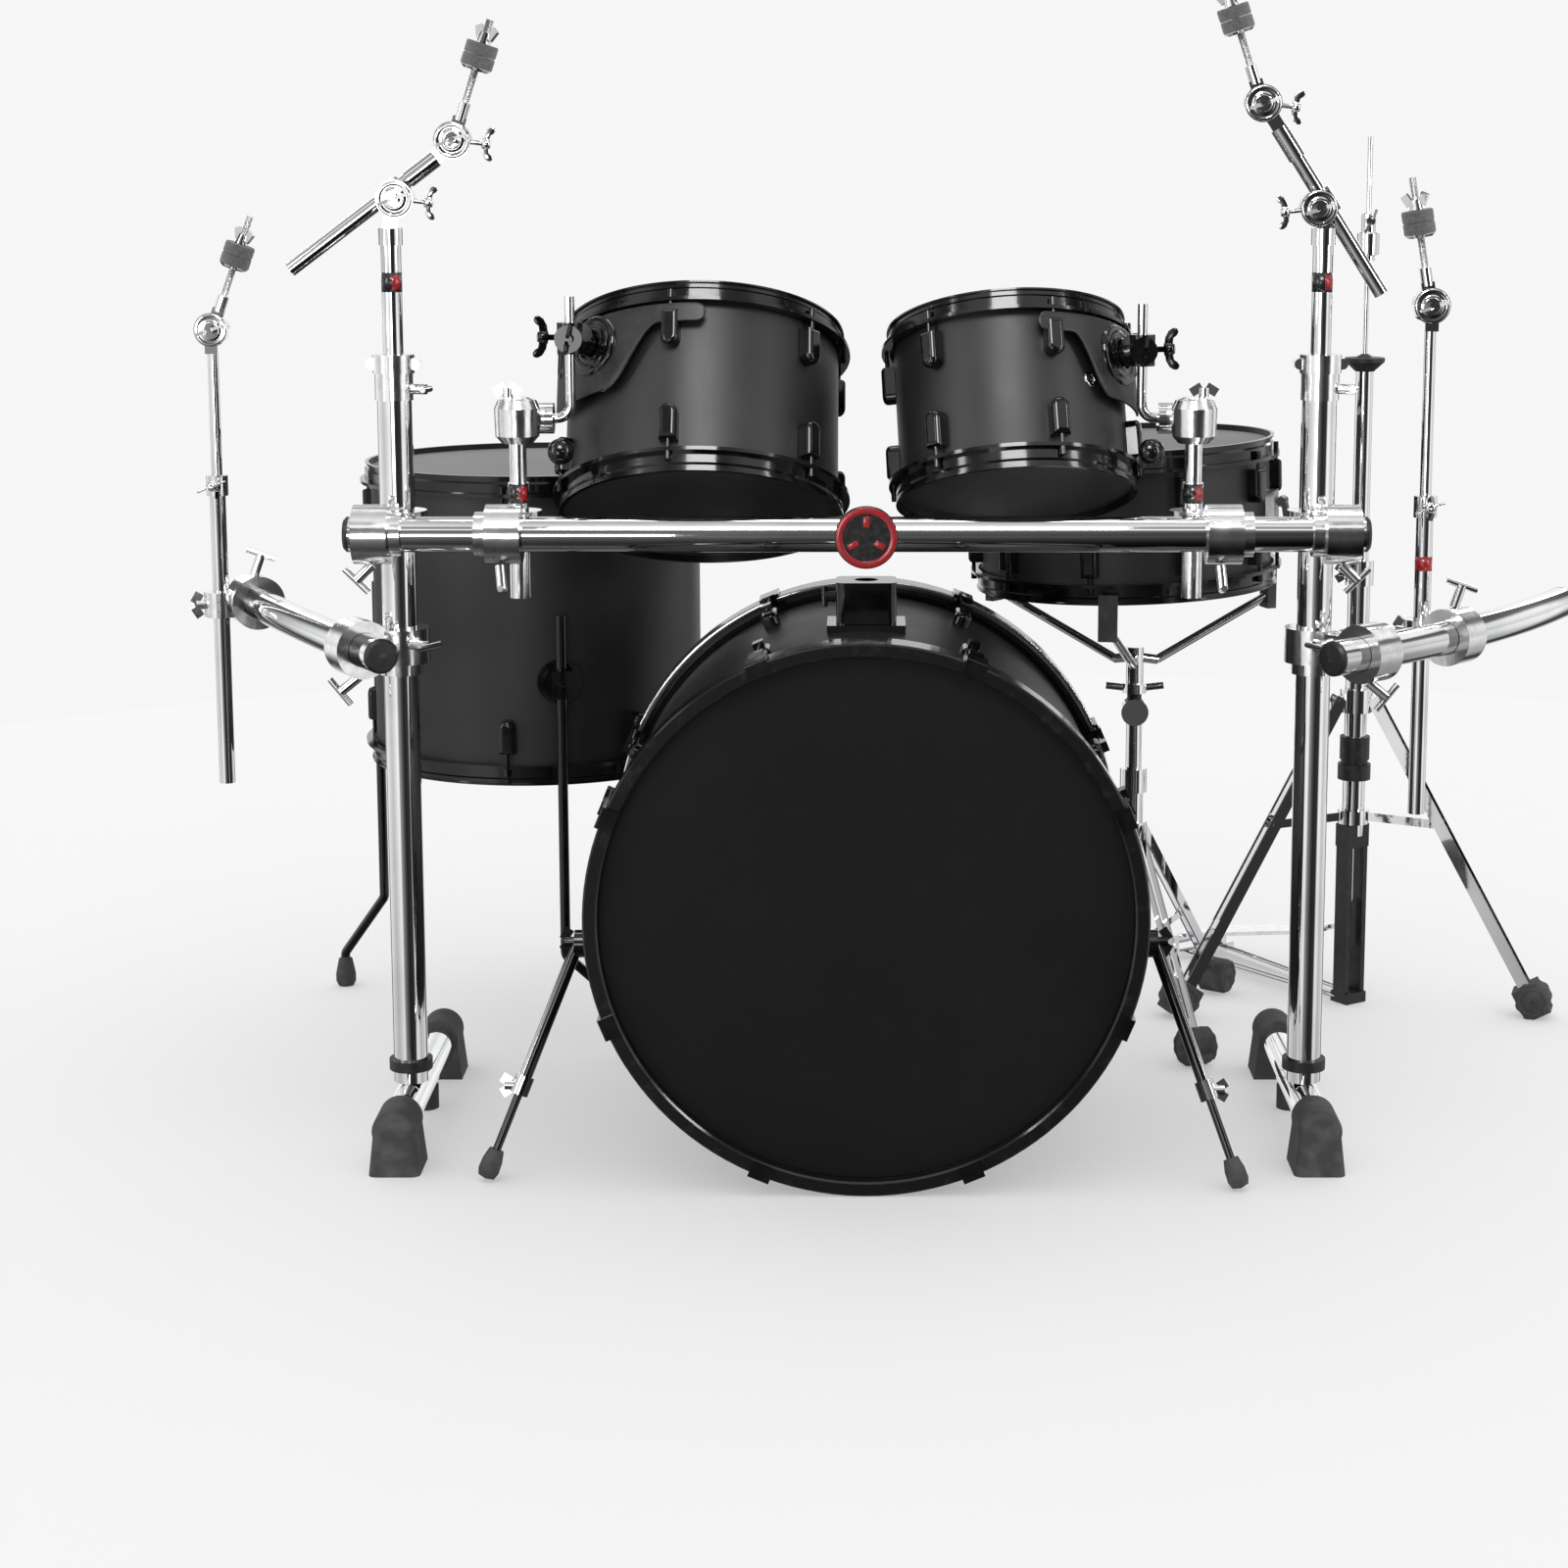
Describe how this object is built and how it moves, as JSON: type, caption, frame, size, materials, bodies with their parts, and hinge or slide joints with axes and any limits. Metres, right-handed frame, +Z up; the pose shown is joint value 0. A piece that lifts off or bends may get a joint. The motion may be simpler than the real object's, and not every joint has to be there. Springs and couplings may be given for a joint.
{
  "type": "acoustic drum kit",
  "caption": "Acoustic drum kit on a curved pipe rack: bass drum, rack toms, floor tom, snare on a stand, hi-hat stand and bare cymbal arms.",
  "frame": {"origin": "middle of the kit's outline on the floor", "axes": "+Z up, -Y towards the audience (the bass drum's front head), +X to the right seen from the front"},
  "size_m": [1.6858, 1.0704, 1.2773],
  "materials": {
    "chrome": "polished",
    "cast_chrome": "cast, softly polished",
    "black_hardware": "gloss black nickel",
    "black_shell": "satin black lacquer on wood",
    "black_hoop": "gloss black lacquer",
    "black_head": "matte film",
    "coated_head": "coated grey film",
    "dark_head": "dark film",
    "rubber": "matte",
    "black_plastic": "moulded",
    "felt_top": "chromed rod with grey felt washers",
    "badge_red": "gloss red and black badge",
    "steel": "spiral wires and cast throw-off"
  },
  "bodies": {
    "kit_base": {"arm_pipes": "chrome", "bar_badge": "badge_red", "bass_claws": "black_hardware", "bass_heads": "black_head", "bass_hoops": "black_hoop", "bass_shell": "black_shell", "bass_tom_mount": "black_hardware", "clamp_keys": "cast_chrome", "floor_tom_brackets": "black_hardware", "floor_tom_heads": "coated_head", "floor_tom_hoops": "black_hardware", "floor_tom_lugs": "black_hardware", "floor_tom_shell": "black_shell", "hihat_stand": "chrome", "pipe_caps": "black_plastic", "pipe_clamps": "cast_chrome", "pipe_collars": "cast_chrome", "rack_bar": "chrome", "rack_boots": "rubber", "rack_feet": "chrome", "rack_uprights": "chrome", "side_pipes": "chrome", "snare_basket": "chrome", "snare_heads": "coated_head", "snare_hoops": "black_hardware", "snare_lugs": "black_hardware", "snare_shell": "black_shell", "snare_stand": "chrome", "snare_strainer": "steel", "spur_brackets": "black_hardware", "tom_posts": "chrome"},
    "boom_post_left": {"boom_post_left": "chrome"},
    "boom_left": {"boom_left": "chrome"},
    "boom_top_left": {"boom_top_left": "felt_top"},
    "arm_rod_left": {"arm_rod_left": "chrome"},
    "arm_top_left": {"arm_top_left": "felt_top"},
    "tom_arm_left": {"tom_arm_left": "chrome"},
    "spur_left": {"spur_left": "black_hardware"},
    "tom_left": {"tom_left_shell": "black_shell", "tom_left_hoops": "black_hardware", "tom_left_heads": "dark_head", "tom_left_lugs": "black_hardware", "tom_left_mount": "black_hardware"},
    "boom_post_right": {"boom_post_right": "chrome"},
    "boom_right": {"boom_right": "chrome"},
    "boom_top_right": {"boom_top_right": "felt_top"},
    "arm_rod_right": {"arm_rod_right": "chrome"},
    "arm_top_right": {"arm_top_right": "felt_top"},
    "tom_arm_right": {"tom_arm_right": "chrome"},
    "spur_right": {"spur_right": "black_hardware"},
    "tom_right": {"tom_right_shell": "black_shell", "tom_right_hoops": "black_hardware", "tom_right_heads": "dark_head", "tom_right_lugs": "black_hardware", "tom_right_mount": "black_hardware"},
    "floor_tom_legs": {"floor_tom_legs": "black_hardware"},
    "snare_lever": {"snare_lever": "black_hardware"},
    "hihat_footboard": {"hihat_footboard": "cast_chrome"},
    "hihat_rod": {"hihat_rod": "chrome"},
    "hihat_legs": {"hihat_legs": "chrome"}
  },
  "joints": [
    {"name": "boom_post_left_slide", "type": "slide", "parent": "kit_base", "child": "boom_post_left", "axis": [0, 0, 1], "range_m": [-0.08, 0.1]},
    {"name": "boom_left_tilt", "type": "hinge", "parent": "boom_post_left", "child": "boom_left", "pos_m": [-0.54254, -0.33215, 1.043], "axis": [0, 1, 0], "range_deg": [-25, 25]},
    {"name": "boom_top_left_tilt", "type": "hinge", "parent": "boom_left", "child": "boom_top_left", "pos_m": [-0.48254, -0.30965, 1.105], "axis": [0, 1, 0], "range_deg": [-35, 35]},
    {"name": "arm_rod_left_slide", "type": "slide", "parent": "kit_base", "child": "arm_rod_left", "axis": [0, 0, 1], "range_m": [-0.12, 0.07]},
    {"name": "arm_top_left_tilt", "type": "hinge", "parent": "arm_rod_left", "child": "arm_top_left", "pos_m": [-0.80887, -0.035, 0.886], "axis": [0, 1, 0], "range_deg": [-35, 35]},
    {"name": "tom_arm_left_tilt", "type": "hinge", "parent": "kit_base", "child": "tom_arm_left", "pos_m": [-0.38724, -0.30815, 0.806], "axis": [1, 0, 0], "range_deg": [-2, 12]},
    {"name": "tom_left_slide", "type": "slide", "parent": "tom_arm_left", "child": "tom_left", "axis": [0, 0, 1], "range_m": [-0.008, 0.02]},
    {"name": "spur_left_fold", "type": "hinge", "parent": "kit_base", "child": "spur_left", "pos_m": [-0.34194, -0.42015, 0.246], "axis": [1, 0, 0], "range_deg": [0, 80]},
    {"name": "boom_post_right_slide", "type": "slide", "parent": "kit_base", "child": "boom_post_right", "axis": [0, 0, 1], "range_m": [-0.08, 0.1]},
    {"name": "boom_right_tilt", "type": "hinge", "parent": "boom_post_right", "child": "boom_right", "pos_m": [0.44546, -0.33215, 1.033], "axis": [0, 1, 0], "range_deg": [-25, 12]},
    {"name": "boom_top_right_tilt", "type": "hinge", "parent": "boom_right", "child": "boom_top_right", "pos_m": [0.38646, -0.30965, 1.144], "axis": [0, 1, 0], "range_deg": [-35, 35]},
    {"name": "arm_rod_right_slide", "type": "slide", "parent": "kit_base", "child": "arm_rod_right", "axis": [0, 0, 1], "range_m": [-0.12, 0.07]},
    {"name": "arm_top_right_tilt", "type": "hinge", "parent": "arm_rod_right", "child": "arm_top_right", "pos_m": [0.58513, -0.24859, 0.925], "axis": [0, 1, 0], "range_deg": [-35, 35]},
    {"name": "tom_arm_right_tilt", "type": "hinge", "parent": "kit_base", "child": "tom_arm_right", "pos_m": [0.28716, -0.30815, 0.806], "axis": [1, 0, 0], "range_deg": [-2, 12]},
    {"name": "tom_right_slide", "type": "slide", "parent": "tom_arm_right", "child": "tom_right", "axis": [0, 0, 1], "range_m": [-0.008, 0.02]},
    {"name": "spur_right_fold", "type": "hinge", "parent": "kit_base", "child": "spur_right", "pos_m": [0.26486, -0.42015, 0.246], "axis": [1, 0, 0], "range_deg": [0, 80]},
    {"name": "floor_tom_legs_slide", "type": "slide", "parent": "kit_base", "child": "floor_tom_legs", "axis": [0, 0, 1], "range_m": [0, 0.06]},
    {"name": "snare_lever_throw", "type": "hinge", "parent": "kit_base", "child": "snare_lever", "pos_m": [0.46514, 0.03235, 0.67549], "axis": [-0.3088, -0.9511, -0.0108], "range_deg": [0, 70]},
    {"name": "hihat_pedal", "type": "hinge", "parent": "kit_base", "child": "hihat_footboard", "pos_m": [0.41946, 0.45285, 0.021], "axis": [0.8269, 0.5623, 0], "range_deg": [0, 7], "stiffness_Nm_per_rad": 10, "springref_deg": -17.19},
    {"name": "hihat_rod_slide", "type": "slide", "parent": "kit_base", "child": "hihat_rod", "axis": [0, 0, -1], "range_m": [0, 0.04]},
    {"name": "hihat_legs_swivel", "type": "hinge", "parent": "kit_base", "child": "hihat_legs", "pos_m": [0.58946, 0.20285, 0.4], "axis": [0, 0, 1], "range_deg": [0, 20]}
  ],
  "couplings": [
    {"joint": "hihat_rod_slide", "follows": "hihat_pedal", "m_per_rad": 0.3}
  ]
}
